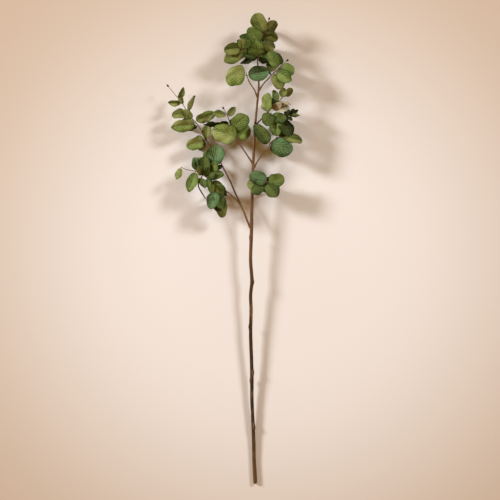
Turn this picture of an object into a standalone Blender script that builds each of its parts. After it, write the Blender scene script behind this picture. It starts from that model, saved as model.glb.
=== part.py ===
"""Eucalyptus branch, cut and laid down on a flat surface.

Metres, +Z up. +Y runs from the cut end to the leafy top, and the surface is Z = 0. The origin is
the middle of the small flat on which the cut end of the stem rests.

The woody stem with its bare forks is one body. Each leafy spray is one body: its own twigs, its
leaves and its buds, grown together. A spray starts where the bare part of its twig ends.
"""

import math
from typing import NamedTuple

import bmesh
import bpy
from mathutils import Matrix, Vector

MM = 0.001

BLADE_THICKNESS = 0.8 * MM
BLADE_ROWS = 6
BROAD_BLADE_COLUMNS = 4
NARROW_BLADE_COLUMNS = 2
NARROW_BLADE_WIDTH = 44 * MM
BLADE_WAVE = 0.045
WAVES_ALONG = 1.5
LIFT_RAMP = 4
OUTLINE_FULLNESS = 2.2
OUTLINE_LEAN = 0.07
ROOT_POWER = 0.48
BLUNT_TIP_POWER = 0.5
POINTED_TIP_POWER = 0.85
ROUND_WIDTH_SHARE = 0.7
SLIM_RANGE = 0.3
WAVE_STEP = 2.4
STALK_SHARE = 0.09
STALK_MAX = 4.0 * MM
STALK_HALF_WIDTH = 0.8 * MM
TWIG_STEP = 12 * MM
TWIG_RESOLUTION = 1
STEM_STEP = 20 * MM
STEM_RESOLUTION = 3
FORK_RESOLUTION = 2
SEAT_GAP = 0.3 * MM
BUD_RADIUS = 2.3 * MM
BUD_STRETCH = 1.7
KNOT_RADIUS = 3.2 * MM
KNOT_STRETCH = 1.5
KNOT_SEAT = 2.5 * MM
MERGE_DISTANCE = 0.01 * MM
SHARP_EDGE_DEGREES = 40


class Leaf(NamedTuple):
    """A leaf on a twig: share of the twig's length at its root, heading and rise of its midrib in
    degrees, reach from root to tip and width in millimetres, and roll about the midrib in degrees.

    The blade folds up along its midrib by fold degrees. Its tip droops and bends to the left by a
    share of its length."""

    share: float
    heading: float
    rise: float
    reach: float
    width: float
    roll: float
    fold: float = 9.0
    bend: float = 0.0
    droop: float = 0.07


class Twig(NamedTuple):
    """A leafy twig. Its route holds (x, y, z, radius) in millimetres. The first bare_points of them
    are woody and belong to the stem; a side twig inside a spray has none."""

    route: tuple
    leaves: tuple
    bare_points: int = 0
    bud: bool = False


STEM_ROUTE = (
    (2, -23, 3.7, 2.9), (1.9, -20.5, 3.7, 4.1), (1, -5, 3.7, 4.4), (0, 14, 3.7, 4.3), (-1, 36, 3.8, 4.1),
    (-2, 83, 5.5, 4.0), (-4, 129, 8, 4.0), (-6, 176, 10.5, 3.9), (-6, 223, 13, 4.0), (-7, 270, 16, 3.9),
    (-9, 328, 19, 3.9), (-8, 386, 22, 3.8), (-9, 421, 24, 3.8), (-6, 456, 26, 3.9), (-9, 503, 28, 3.8),
    (-7, 573, 31, 3.9), (-6, 643, 34, 3.6), (-3, 725, 36, 3.1), (1, 807, 38, 2.6), (6, 865, 39, 2.3),
    (10, 909, 39, 2.0), (8, 956, 40, 1.5), (7, 966, 40, 1.4),
)

# Each knot is a share of the stem's length and the side it stands out to, in degrees about +Z.
STEM_KNOTS = ((0.135, 0), (0.246, 185), (0.265, 5), (0.373, 180), (0.480, 0), (0.585, 175), (0.715, 10))

TOP_SPRAY = (
    Twig(
        route=STEM_ROUTE + (
            (7, 977, 42, 1.3), (9, 994, 46, 1.2), (14, 1010, 50, 1.1), (20, 1026, 52, 1.0),
            (26, 1037, 52, 0.9), (31, 1050, 52, 0.8), (34, 1066, 50, 0.7),
        ),
        bare_points=len(STEM_ROUTE),
        bud=True,
        leaves=(
            Leaf(0.66, 118, 15, 50, 41, -20, 14, 0.0, 0.12), Leaf(0.64, 124, -14, 50, 26, 30),
            Leaf(0.62, 48, -10, 45, 29, -15, 12), Leaf(0.68, -32, -16, 36, 25, 20),
            Leaf(0.40, 125, 26, 48, 38, 14, 20), Leaf(0.78, -97, -20, 38, 26, 0),
            Leaf(0.44, 166, -6, 52, 31, -26, 16), Leaf(0.14, 130, 22, 44, 30, -16, 14),
            Leaf(0.15, 52, 16, 40, 30, 16, 14), Leaf(0.10, 159, 28, 40, 26, 10, 14),
            Leaf(0.08, 99, 36, 45, 41, 0, 16), Leaf(0.44, -24, 12, 36, 28, 8, 14),
            Leaf(0.17, 11, -18, 31, 23, 0), Leaf(0.08, -167, 0, 42, 28, 60),
            Leaf(0.08, -17, 0, 26, 22, -35), Leaf(0.30, -150, -58, 52, 38, 0),
            Leaf(0.40, -30, -60, 50, 36, 10), Leaf(0.60, 80, -58, 48, 36, 0),
        ),
    ),
    Twig(
        route=(
            (7, 977, 42, 1.0), (-11, 984, 46, 0.9), (-27, 995, 50, 0.8), (-35, 1005, 50, 0.7),
            (-39, 1013, 48, 0.6),
        ),
        bud=True,
        leaves=(
            Leaf(0.62, 104, 26, 26, 21, 0), Leaf(0.72, -170, 8, 41, 31, -12, 18),
            Leaf(0.52, -155, -4, 56, 32, 4, 16), Leaf(0.70, 165, -60, 50, 38, 10),
        ),
    ),
)

UPPER_LEFT_SPRAY = (
    Twig(
        route=(
            (7, 883, 39, 1.6), (0, 900, 43, 1.3), (-11, 916, 48, 1.1), (-15, 925, 50, 1.0),
            (-18, 933, 52, 0.9), (-20, 942, 53, 0.7),
        ),
        bare_points=4,
        leaves=(
            Leaf(0.50, 176, 5, 48, 51, -10, 12, 0.2), Leaf(0.50, 11, 8, 53, 38, 16, 18),
        ),
    ),
)

UPPER_RIGHT_SPRAY = (
    Twig(
        route=(
            (11, 899, 39, 1.5), (18, 911, 42, 1.2), (29, 923, 45, 1.1), (36, 930, 47, 1.0),
            (41, 936, 48, 1.0), (50, 944, 50, 0.9), (60, 954, 51, 0.8), (69, 962, 50, 0.7),
            (77, 969, 48, 0.6),
        ),
        bare_points=4,
        bud=True,
        leaves=(
            Leaf(0.49, 117, 14, 45, 32, 14, 18), Leaf(0.66, 106, -20, 36, 20, 30),
            Leaf(0.60, -24, 5, 35, 31, -12, 14), Leaf(0.37, -37, 18, 43, 31, 8, 16),
            Leaf(0.30, 118, -34, 42, 24, 0), Leaf(0.22, -62, 12, 42, 32, -16, 16),
            Leaf(0.09, 123, 10, 18, 10, 60), Leaf(0.50, -45, -62, 52, 36, 0),
        ),
    ),
)

RIGHT_SPRAY = (
    Twig(
        route=(
            (4, 817, 38, 1.5), (9, 825, 40, 1.3), (18, 834, 42, 1.2), (22, 839, 43, 1.1),
            (32, 849, 44, 1.1), (43, 860, 45, 1.0), (55, 872, 46, 0.9), (64, 881, 46, 0.8),
            (71, 888, 45, 0.6),
        ),
        bare_points=4,
        leaves=(
            Leaf(0.14, 88, 15, 47, 31, -24, 26), Leaf(0.86, 78, 15, 24, 19, -15),
            Leaf(0.95, 39, -5, 27, 18, 15), Leaf(0.66, 108, 5, 30, 19, 35),
            Leaf(0.35, 23, 30, 29, 19, 10), Leaf(0.38, 4, 4, 40, 24, -15, 14),
            Leaf(0.69, -10, 5, 30, 16, -68), Leaf(0.22, -92, 18, 35, 34, -10, 14),
            Leaf(0.40, 60, -60, 50, 36, 0),
        ),
    ),
    Twig(
        route=(
            (27, 844, 43.5, 1.0), (39, 839, 42, 1.0), (53, 831, 42, 0.9), (67, 831, 44, 0.9),
            (78, 839, 46, 0.8), (88, 846, 46, 0.6),
        ),
        leaves=(
            Leaf(0.18, -14, 28, 40, 28, 12, 20), Leaf(0.32, -82, 8, 42, 31, 16, 16),
            Leaf(0.55, -56, 20, 45, 34, -10, 16), Leaf(0.48, -77, -12, 44, 28, 0),
            Leaf(0.83, 29, 10, 28, 11, 20), Leaf(0.87, -1, 20, 25, 10, -10),
            Leaf(0.92, 55, 10, 16, 9, 10), Leaf(0.78, 73, 25, 19, 10, -20), Leaf(0.75, 100, 0, 16, 9, 10),
            Leaf(0.79, -33, 20, 16, 9, 10), Leaf(0.50, -20, -60, 48, 34, 0),
        ),
    ),
)

LOWER_RIGHT_SPRAY = (
    Twig(
        route=(
            (-2, 718, 36, 1.7), (8, 735, 39, 1.4), (20, 753, 42, 1.3), (34, 770, 45, 1.2),
            (37, 776, 46, 1.2), (46, 784, 46, 1.0), (55, 789, 45, 0.9), (63, 790, 44, 0.7),
        ),
        bare_points=4,
        leaves=(
            Leaf(0.08, 127, 8, 58, 34, 14, 18), Leaf(0.14, -19, 10, 55, 44, 10, 12),
            Leaf(0.90, -3, -6, 53, 32, -30, 22, -0.1), Leaf(0.20, -22, -58, 50, 38, 0),
        ),
    ),
)

CENTRE_LEFT_SPRAY = (
    Twig(
        route=(
            (-3, 727, 36, 1.7), (-22, 755, 40, 1.4), (-34, 773, 43, 1.3), (-37, 778, 44, 1.2),
            (-41, 788, 45, 1.1), (-49, 804, 46, 1.1), (-57, 823, 47, 1.0), (-64, 842, 48, 0.9),
            (-69, 851, 48, 0.7), (-73, 858, 47, 0.6),
        ),
        bare_points=4,
        bud=True,
        leaves=(
            Leaf(0.11, 157, 8, 60, 50, -8, 14, 0.06), Leaf(0.06, 57, -10, 44, 35, 12, 14),
            Leaf(0.39, 41, 18, 47, 42, 6, 14), Leaf(0.57, -171, 4, 61, 20, -60),
            Leaf(0.44, 177, -6, 44, 22, 10, 18), Leaf(0.78, 172, 10, 35, 20, 30, 18),
            Leaf(0.74, 50, 16, 28, 18, -20, 20), Leaf(0.22, 150, -60, 52, 38, 0),
            Leaf(0.40, 50, -60, 52, 38, 0),
        ),
    ),
)

LEFT_SPRAY = (
    Twig(
        route=(
            (-9, 578, 31, 2.2), (-14, 588, 31, 2.1), (-22, 608, 31, 2.0), (-32, 632, 30, 1.9),
            (-46, 662, 29, 1.8), (-57, 688, 28, 1.6), (-69, 711, 27, 1.5), (-81, 734, 26, 1.4),
            (-97, 762, 26, 1.3), (-108, 777, 27, 1.2), (-113, 784, 28, 1.2), (-121, 796, 30, 1.1),
            (-126, 809, 31, 1.1), (-134, 821, 32, 1.0), (-147, 835, 33, 0.9), (-158, 849, 34, 0.9),
            (-166, 865, 34, 0.8), (-176, 879, 33, 0.8), (-186, 890, 32, 0.7), (-203, 911, 30, 0.6),
        ),
        bare_points=10,
        bud=True,
        leaves=(
            Leaf(0.05, -164, 12, 48, 34, -12, 26, 0.06, 0.16), Leaf(0.04, 88, 10, 42, 24, -30, 22),
            Leaf(0.36, 25, 8, 53, 28, 22, 18, -0.08), Leaf(0.33, -169, 8, 60, 33, -18, 24),
            Leaf(0.28, -167, -12, 43, 16, -30), Leaf(0.40, 140, 15, 32, 22, 6, 16),
            Leaf(0.53, -168, 10, 36, 25, 14, 18), Leaf(0.52, 70, 10, 44, 17, -40, 20),
            Leaf(0.73, 78, 10, 31, 15, 20, 26, -0.1), Leaf(0.69, -170, 8, 32, 17, -25, 24, -0.16),
            Leaf(0.65, 116, 7, 25, 13, 20, 18), Leaf(0.07, -150, -42, 44, 34, 0),
            Leaf(0.40, -145, -45, 44, 30, 0),
        ),
    ),
)

LOWER_LEFT_SPRAY = (
    Twig(
        route=(
            (-30, 628, 30, 1.7), (-43, 644, 35, 1.5), (-55, 655, 39, 1.4), (-66, 664, 42, 1.3),
            (-76, 671, 44, 1.2), (-90, 681, 46, 1.1), (-104, 690, 47, 1.0), (-116, 699, 47, 1.0),
            (-127, 709, 45, 0.9), (-141, 711, 43, 0.8), (-158, 714, 42, 0.7), (-173, 720, 42, 0.6),
        ),
        bare_points=4,
        leaves=(
            Leaf(0.49, 93, 15, 46, 32, -12, 16), Leaf(0.66, 102, 10, 33, 24, 16, 20),
            Leaf(0.65, 90, -20, 28, 10, 40), Leaf(0.70, -106, 8, 51, 28, 16, 18, -0.08),
            Leaf(0.50, 5, 16, 46, 27, -18, 16), Leaf(0.98, -115, -8, 31, 16, 10),
            Leaf(0.45, 84, 34, 28, 16, 15), Leaf(0.41, 37, 40, 24, 16, -15),
            Leaf(0.44, -77, 26, 27, 16, 15), Leaf(0.36, -55, -6, 50, 38, 8, 14),
            Leaf(0.08, -66, -5, 20, 10, 20), Leaf(0.22, -80, -60, 50, 38, 0),
            Leaf(0.56, 70, -60, 50, 36, 0),
        ),
    ),
    Twig(
        route=(
            (-120, 703, 46, 1.0), (-127, 688, 44, 1.3), (-131, 676, 42, 1.5), (-123, 660, 40, 1.6),
            (-114, 646, 38, 1.3),
        ),
        leaves=(
            Leaf(0.06, 114, 36, 28, 17, 0), Leaf(0.14, -70, 30, 28, 17, -15),
            Leaf(0.18, -146, 20, 15, 12, 10),
        ),
    ),
    Twig(
        route=((-104, 690, 47, 0.9), (-99, 704, 48, 0.9), (-95, 723, 48, 0.7)),
        leaves=(
            Leaf(0.98, 79, 8, 50, 44, -12, 16), Leaf(0.86, 112, -12, 46, 28, 15),
            Leaf(0.72, 141, -22, 53, 20, 0), Leaf(0.43, 74, 28, 33, 21, -15),
            Leaf(0.78, 15, -12, 24, 12, 20),
        ),
    ),
    Twig(
        route=((-90, 681, 46, 1.0), (-91, 667, 45, 0.9), (-85, 650, 43, 0.8), (-78, 641, 42, 0.7)),
        leaves=(
            Leaf(0.36, -106, 14, 45, 30, 5, 10), Leaf(0.45, -67, 8, 42, 29, -12, 16),
            Leaf(0.90, -80, -6, 43, 28, -15, 16), Leaf(0.70, -95, -18, 36, 22, 0),
            Leaf(0.55, -100, -62, 48, 34, 0),
        ),
    ),
)

SMALL_RIGHT_SPRAY = (
    Twig(
        route=(
            (-5, 667, 34.5, 1.6), (-1, 669.5, 37, 1.5), (3, 672, 39.5, 1.4), (11, 677, 44.5, 1.2),
            (26, 683, 48, 1.0), (35, 686, 49, 0.8),
        ),
        bare_points=3,
        leaves=(
            Leaf(0.90, 158, 8, 46, 34, 6, 14), Leaf(0.61, -176, -2, 39, 32, 0, 12),
            Leaf(0.72, -142, 8, 39, 30, 10, 14), Leaf(0.80, -52, 8, 41, 36, -10, 14),
            Leaf(0.84, 12, 6, 41, 36, 10, 16), Leaf(0.50, 8, -8, 34, 30, 0),
            Leaf(0.80, -60, -62, 52, 38, 0),
        ),
    ),
)

SPRAYS = {
    "leafy_spray_top": TOP_SPRAY,
    "leafy_spray_upper_left": UPPER_LEFT_SPRAY,
    "leafy_spray_upper_right": UPPER_RIGHT_SPRAY,
    "leafy_spray_right": RIGHT_SPRAY,
    "leafy_spray_lower_right": LOWER_RIGHT_SPRAY,
    "leafy_spray_centre_left": CENTRE_LEFT_SPRAY,
    "leafy_spray_left": LEFT_SPRAY,
    "leafy_spray_lower_left": LOWER_LEFT_SPRAY,
    "leafy_spray_small_right": SMALL_RIGHT_SPRAY,
}


def clear_scene():
    """Removes every object of the startup scene."""
    for obj in list(bpy.data.objects):
        bpy.data.objects.remove(obj)


def principled(name, colour, roughness):
    """A plain Principled material."""
    material = bpy.data.materials.new(name)
    material.use_nodes = True
    shader = material.node_tree.nodes["Principled BSDF"]
    shader.inputs["Base Color"].default_value = (*colour, 1.0)
    shader.inputs["Roughness"].default_value = roughness
    shader.inputs["Metallic"].default_value = 0.0
    return material


def smooth_route(route, step):
    """Points and radii in metres along a smooth curve through the route, which it keeps as samples.

    Returns (samples, index of each route point among them)."""
    points = [Vector(point) * MM for point in route]
    padded = [2 * points[0] - points[1], *points, 2 * points[-1] - points[-2]]
    samples = [points[0]]
    kept = [0]
    for before, start, end, after in zip(padded, padded[1:], padded[2:], padded[3:]):
        count = max(1, round((end - start).length / step))
        for i in range(1, count + 1):
            t = i / count
            samples.append(
                0.5 * (
                    2 * start + (end - before) * t
                    + (2 * before - 5 * start + 4 * end - after) * t ** 2
                    + (3 * start - before - 3 * end + after) * t ** 3
                )
            )
        kept.append(len(samples) - 1)
    return samples, kept


def point_at(samples, share):
    """The point at a share of the length of a sampled route."""
    places = [sample.to_3d() for sample in samples]
    pieces = [(b - a).length for a, b in zip(places, places[1:])]
    left = share * sum(pieces)
    for a, b, piece in zip(places, places[1:], pieces):
        if left <= piece:
            return a.lerp(b, left / piece)
        left -= piece
    return places[-1]


def mesh_object(name, bm):
    """Wraps a bmesh in an object and frees it."""
    mesh = bpy.data.meshes.new(name)
    bm.to_mesh(mesh)
    bm.free()
    return bpy.data.objects.new(name, mesh)


def tube(name, samples, resolution):
    """A closed round body along the samples, whose fourth value is the radius."""
    curve = bpy.data.curves.new(name, "CURVE")
    curve.dimensions = "3D"
    curve.bevel_depth = 1.0
    curve.bevel_resolution = resolution
    curve.use_fill_caps = True
    spline = curve.splines.new("POLY")
    spline.points.add(len(samples) - 1)
    for point, sample in zip(spline.points, samples):
        point.co = (*sample.to_3d(), 1.0)
        point.radius = sample[3]
    holder = bpy.data.objects.new(name, curve)
    bpy.context.scene.collection.objects.link(holder)
    bpy.context.view_layer.update()
    evaluated = holder.evaluated_get(bpy.context.evaluated_depsgraph_get())
    bm = bmesh.new()
    bm.from_mesh(evaluated.to_mesh())
    bmesh.ops.remove_doubles(bm, verts=bm.verts, dist=MERGE_DISTANCE)
    bmesh.ops.recalc_face_normals(bm, faces=bm.faces)
    bpy.data.objects.remove(holder)
    return mesh_object(name, bm)


def ball(name, centre, along, radius, stretch):
    """A small rounded body, stretched along a direction."""
    bm = bmesh.new()
    bmesh.ops.create_icosphere(bm, subdivisions=1, radius=radius)
    turn = along.to_track_quat("Z", "Y").to_matrix().to_4x4()
    bm.transform(Matrix.Translation(centre) @ turn @ Matrix.Diagonal((1, 1, stretch, 1)))
    return mesh_object(name, bm)


def leaf_frame(leaf, root):
    """The matrix that carries a blade drawn along +X, face up, to its place on the twig."""
    heading, rise, roll = (math.radians(value) for value in (leaf.heading, leaf.rise, leaf.roll))
    turn = Matrix.Rotation(heading, 4, "Z") @ Matrix.Rotation(-rise, 4, "Y")
    return Matrix.Translation(root) @ turn @ Matrix.Rotation(roll, 4, "X")


def outline(u, slimness):
    """Half the blade's width at a share u of its length, as a share of half the full width.

    Slimness runs from 0, a round blade with a blunt tip, to 1, a slim one with a pointed tip."""
    t = 2 * u - 1
    power = ROOT_POWER if t < 0 else BLUNT_TIP_POWER + (POINTED_TIP_POWER - BLUNT_TIP_POWER) * slimness
    return max(0.0, 1 - abs(t) ** OUTLINE_FULLNESS) ** power * (1 - OUTLINE_LEAN * t)


def blade_point(leaf, number, row, rows, side):
    """A point of the blade's middle sheet. Row 0 is the root, row 1 the stalk's end, the last the tip."""
    reach, half = leaf.reach * MM, leaf.width * MM / 2
    stalk = min(STALK_SHARE * reach, STALK_MAX)
    if row <= 1:
        edge = 0 if math.isclose(side, 0, abs_tol=0.1) else math.copysign(1, side)
        return Vector((stalk * row, edge * STALK_HALF_WIDTH, 0))
    u = (1 - math.cos(math.pi * (row - 1) / (rows - 1))) / 2
    length = reach - stalk
    slimness = min(1.0, max(0.0, (ROUND_WIDTH_SHARE - leaf.width / leaf.reach) / SLIM_RANGE))
    across = half * outline(u, slimness) * side
    lift = abs(across) * math.sin(math.radians(leaf.fold)) - leaf.droop * length * u ** 2
    wave = math.sin(math.tau * WAVES_ALONG * u + WAVE_STEP * number)
    lift += BLADE_WAVE * length * side * abs(side) * wave
    across = across * math.cos(math.radians(leaf.fold)) + leaf.bend * length * u ** 2
    return Vector((stalk + length * u, across, lift * min(1, LIFT_RAMP * u)))


def blade(leaf, number, root):
    """The bmesh of one leaf with its stalk: a waved sheet given its thickness, kept above Z = 0."""
    columns = NARROW_BLADE_COLUMNS if leaf.width * MM <= NARROW_BLADE_WIDTH else BROAD_BLADE_COLUMNS
    rows = BLADE_ROWS + 1
    bm = bmesh.new()
    bmesh.ops.create_grid(bm, x_segments=rows, y_segments=columns, size=1)
    frame = leaf_frame(leaf, root)
    for vert in bm.verts:
        row = round((vert.co.x + 1) / 2 * rows)
        vert.co = frame @ blade_point(leaf, number, row, rows, vert.co.y)
        vert.co.z = max(vert.co.z, BLADE_THICKNESS / 2)
    bmesh.ops.remove_doubles(bm, verts=bm.verts, dist=MERGE_DISTANCE)
    bmesh.ops.triangulate(bm, faces=bm.faces)
    bm.normal_update()
    for vert, normal in [(vert, vert.normal.copy()) for vert in bm.verts]:
        vert.co -= normal * BLADE_THICKNESS / 2
    bmesh.ops.solidify(bm, geom=bm.faces[:], thickness=-BLADE_THICKNESS)
    for vert in bm.verts:
        vert.co.z = max(vert.co.z, 0)
    bmesh.ops.recalc_face_normals(bm, faces=bm.faces)
    return bm


def fuse(name, bodies, material):
    """Joins bodies that overlap into one, in the first of them."""
    whole, others = bodies[0], bodies[1:]
    whole.name = name
    whole.data.name = name
    bpy.context.scene.collection.objects.link(whole)
    group = bpy.data.collections.new(name + "_bodies")
    bpy.context.scene.collection.children.link(group)
    for body in others:
        group.objects.link(body)
    union = whole.modifiers.new("grown together", "BOOLEAN")
    union.operation = "UNION"
    union.operand_type = "COLLECTION"
    union.collection = group
    union.solver = "MANIFOLD"
    bpy.context.view_layer.update()
    evaluated = whole.evaluated_get(bpy.context.evaluated_depsgraph_get())
    fused = bpy.data.meshes.new_from_object(evaluated)
    whole.modifiers.clear()
    whole.data = fused
    for body in others:
        bpy.data.objects.remove(body)
    bpy.data.collections.remove(group)
    keep_outer_shell(fused)
    fused.materials.clear()
    fused.materials.append(material)
    fused.shade_smooth()
    fused.set_sharp_from_angle(angle=math.radians(SHARP_EDGE_DEGREES))
    return whole


def keep_outer_shell(mesh):
    """Leaves only the largest shell: fills hollows sealed between leaves and drops loose scraps."""
    bm = bmesh.new()
    bm.from_mesh(mesh)
    shells = []
    seen = set()
    for start in bm.verts:
        if start in seen:
            continue
        seen.add(start)
        shell = [start]
        for vert in shell:
            for edge in vert.link_edges:
                other = edge.other_vert(vert)
                if other not in seen:
                    seen.add(other)
                    shell.append(other)
        shells.append(shell)
    largest = max(shells, key=len)
    bmesh.ops.delete(bm, geom=[vert for shell in shells if shell is not largest for vert in shell])
    bm.to_mesh(mesh)
    bm.free()


def leafy_part(twig, step):
    """The samples of a twig from the end of its woody part on, set back from it by the seat gap."""
    samples, kept = smooth_route(twig.route, step)
    if not twig.bare_points:
        return samples
    samples = samples[kept[twig.bare_points - 1]:]
    start = samples[0].lerp(samples[1], SEAT_GAP / (samples[1].to_3d() - samples[0].to_3d()).length)
    return [start, *samples[1:]]


def woody_part(twig, step):
    """The samples of a twig up to the end of its woody part."""
    samples, kept = smooth_route(twig.route, step)
    return samples[:kept[twig.bare_points - 1] + 1]


def spray_bodies(name, twigs):
    """The bodies of one spray before they are fused: twigs, blades and buds."""
    tubes, rest = [], []
    number = 0
    for index, twig in enumerate(twigs):
        samples = leafy_part(twig, TWIG_STEP)
        tubes.append(tube(f"{name}_twig_{index}", samples, TWIG_RESOLUTION))
        for leaf in twig.leaves:
            root = point_at(samples, leaf.share)
            rest.append(mesh_object(f"{name}_leaf_{number}", blade(leaf, number, root)))
            number += 1
        if twig.bud:
            end, before = samples[-1].to_3d(), samples[-2].to_3d()
            rest.append(ball(f"{name}_bud_{index}", end, end - before, BUD_RADIUS, BUD_STRETCH))
    return tubes + rest


def stem_bodies():
    """The main stem, its bare forks and its knots, before they are fused."""
    stem_samples = woody_part(TOP_SPRAY[0], STEM_STEP)
    bodies = [tube("stem", stem_samples, STEM_RESOLUTION)]
    for name, twigs in SPRAYS.items():
        if twigs is not TOP_SPRAY:
            bodies.append(tube(name + "_fork", woody_part(twigs[0], STEM_STEP), FORK_RESOLUTION))
    for share, side in STEM_KNOTS:
        side = math.radians(side)
        outward = Vector((math.cos(side), math.sin(side), 0))
        centre = point_at(stem_samples, share) + KNOT_SEAT * outward
        bodies.append(ball("knot", centre, Vector((0, 1, 0)), KNOT_RADIUS, KNOT_STRETCH))
    return bodies


def flatten_underside(obj):
    """Cuts the stem along the surface it lies on, which leaves the small flat that it rests on."""
    bm = bmesh.new()
    bm.from_mesh(obj.data)
    geometry = bm.verts[:] + bm.edges[:] + bm.faces[:]
    cut = bmesh.ops.bisect_plane(bm, geom=geometry, plane_no=(0, 0, 1), clear_inner=True)
    rim = [item for item in cut["geom_cut"] if isinstance(item, bmesh.types.BMEdge)]
    bmesh.ops.holes_fill(bm, edges=rim)
    bmesh.ops.recalc_face_normals(bm, faces=bm.faces)
    bm.to_mesh(obj.data)
    bm.free()


def main():
    """Builds the branch."""
    clear_scene()
    bark = principled("bark", (0.085, 0.042, 0.018), 0.75)
    green = principled("eucalyptus_leaf", (0.085, 0.16, 0.045), 0.55)
    branch = bpy.data.objects.new("eucalyptus_branch", None)
    bpy.context.scene.collection.objects.link(branch)
    stem = fuse("woody_stem", stem_bodies(), bark)
    flatten_underside(stem)
    stem.parent = branch
    for name, twigs in SPRAYS.items():
        spray = fuse(name, spray_bodies(name, twigs), green)
        spray.parent = branch


if __name__ == "__main__":
    main()
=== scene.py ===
"""Looks of a cut eucalyptus branch that lies on a pale floor, seen from straight above.

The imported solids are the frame. Finer leaves, twigs and buds replace each leafy spray, and a finer stem
with its bark replaces the woody stem. They follow the same routes and the same leaf rows as the solids:
the rows are in millimetres and degrees, and +Y runs from the cut end to the leafy top.
"""
import logging
import math
import random
from collections.abc import Callable, Sequence
from dataclasses import dataclass
from enum import Enum
from typing import NamedTuple

import bmesh
import bpy
from mathutils import Matrix, Vector, noise


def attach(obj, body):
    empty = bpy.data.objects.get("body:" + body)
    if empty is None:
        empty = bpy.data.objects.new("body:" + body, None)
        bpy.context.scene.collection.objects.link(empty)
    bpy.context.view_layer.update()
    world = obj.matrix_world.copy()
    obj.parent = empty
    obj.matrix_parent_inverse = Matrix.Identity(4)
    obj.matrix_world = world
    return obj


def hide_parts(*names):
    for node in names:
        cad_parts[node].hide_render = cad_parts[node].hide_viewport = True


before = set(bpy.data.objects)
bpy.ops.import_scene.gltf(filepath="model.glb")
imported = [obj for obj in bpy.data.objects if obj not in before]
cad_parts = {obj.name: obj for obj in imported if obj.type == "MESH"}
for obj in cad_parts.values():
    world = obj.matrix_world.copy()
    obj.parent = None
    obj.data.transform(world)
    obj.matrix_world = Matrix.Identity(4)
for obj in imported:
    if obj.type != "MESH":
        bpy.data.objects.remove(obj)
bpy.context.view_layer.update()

LOG = logging.getLogger("eucalyptus_branch")
MM = 0.001
SEED = 417
MERGE_DISTANCE = 0.002 * MM
FLOOR_CLEARANCE = 0.25 * MM
# What comes near the floor bends along it: the size of the turn, and from how many turns up it starts.
FLOOR_TURN = 1.5 * MM
FLOOR_TURNS = 4
SHARP_DEGREES = 55
# The dome that rounds an end: its depth as a share of the radius or of the last step, and its rings.
DOME_DEPTH = 0.6
DOME_DEGREES = (0, 30, 55, 75, 90)


class Tone(Enum):
    """The named tones of leaf that the branch carries."""

    OLIVE = "olive"
    DEEP = "deep green"
    # DARK is painted shade: a near-black green for leaves that lie edge-on and underneath, in shade.
    DARK = "painted shade, dark"
    FRESH = "fresh green"
    PALE = "pale grey green"
    BLUE = "blue green"
    LIGHT = "light yellow green"
    RUST = "rust edged"
    MOSS = "moss brown green"
    # BACK is painted shade: a dark green for the leaves under the branch, where shade falls.
    BACK = "shaded, under the branch"


@dataclass(frozen=True)
class LeafFinish:
    """Colours of one tone of leaf, as sRGB hex strings, and how rough its wax is."""

    body: str
    patch: str
    # half: painted light and shade, laid on one side of the midrib.
    half: str
    vein: str
    # rim: the colour along the margin, also laid near the stalk as painted shade.
    rim: str
    under: str
    roughness: float
    gloss: float = 0.06


@dataclass(frozen=True)
class BarkFinish:
    """Colours of a woody surface, as sRGB hex strings, with its roughness and relief."""

    dark: str
    mid: str
    light: str
    young: str
    roughness: float
    relief: float


LEAF_FINISHES = {
    Tone.OLIVE: LeafFinish("#5d612a", "#3a4719", "#7c7f43", "#9c9e58", "#38380f", "#6a6e3a", 0.6),
    Tone.DEEP: LeafFinish("#3e4b1e", "#222f0e", "#586631", "#7b8648", "#1a230a", "#4e5830", 0.58),
    # The DARK finish is painted shade: near-black green where leaves lie in shade.
    Tone.DARK: LeafFinish("#24280e", "#141306", "#323818", "#525a30", "#100f06", "#2e321a", 0.66, 0.04),
    Tone.FRESH: LeafFinish("#566a2a", "#6c7d3c", "#3a4d19", "#9ca860", "#304214", "#6a783e", 0.56),
    Tone.PALE: LeafFinish("#b2ae8e", "#9c9c74", "#bcb69a", "#cec8ae", "#7a7450", "#b0ac90", 0.62),
    Tone.BLUE: LeafFinish("#475b2a", "#2c3a15", "#547246", "#86a070", "#1f2c0e", "#586840", 0.5, 0.1),
    Tone.LIGHT: LeafFinish("#7d8840", "#596b24", "#959c5b", "#b0b674", "#545c1a", "#889056", 0.58),
    Tone.RUST: LeafFinish("#a89c80", "#a47e56", "#989674", "#c2b090", "#664a30", "#a89a80", 0.6),
    Tone.MOSS: LeafFinish("#575625", "#393914", "#6e6d36", "#86824a", "#2a280e", "#5c5a34", 0.6),
    # The BACK finish is painted shade for the leaves under the branch.
    Tone.BACK: LeafFinish("#2c3614", "#1e260c", "#364020", "#525a30", "#181a0a", "#3a4224", 0.62, 0.04),
}
STEM_FINISH = BarkFinish("#2a190b", "#4f3417", "#936c42", "#785638", 0.66, 0.6)
TWIG_FINISH = BarkFinish("#3f2518", "#5c3a25", "#7c5e3a", "#68482c", 0.6, 0.3)
BUD_FINISH = BarkFinish("#15100a", "#241a10", "#3c3020", "#2a2214", 0.7, 0.3)


@dataclass(frozen=True)
class LeafSurface:
    """What all leaves share: how strongly each marking shows, from 0 to 1, and how high or deep it lies.

    There are blotch_scale blotches to a metre. The leaves' tints are spread by tint_step, and their
    roughness varies by wax_range."""

    blotch_scale: float = 55.0
    tint_step: float = 7.3
    tint: float = 0.35
    # half: how strongly the painted light and shade on one side of the midrib shows.
    half: float = 0.8
    # base: how strongly the painted shade near the stalk shows.
    base: float = 0.8
    laterals: float = 0.8
    rim: float = 0.92
    midrib: float = 0.75
    wax_range: float = 0.22
    lateral_height: float = -0.6
    midrib_height: float = -0.9
    blotch_height: float = 0.25
    bump: float = 0.8
    bump_depth: float = 0.9 * MM


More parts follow.
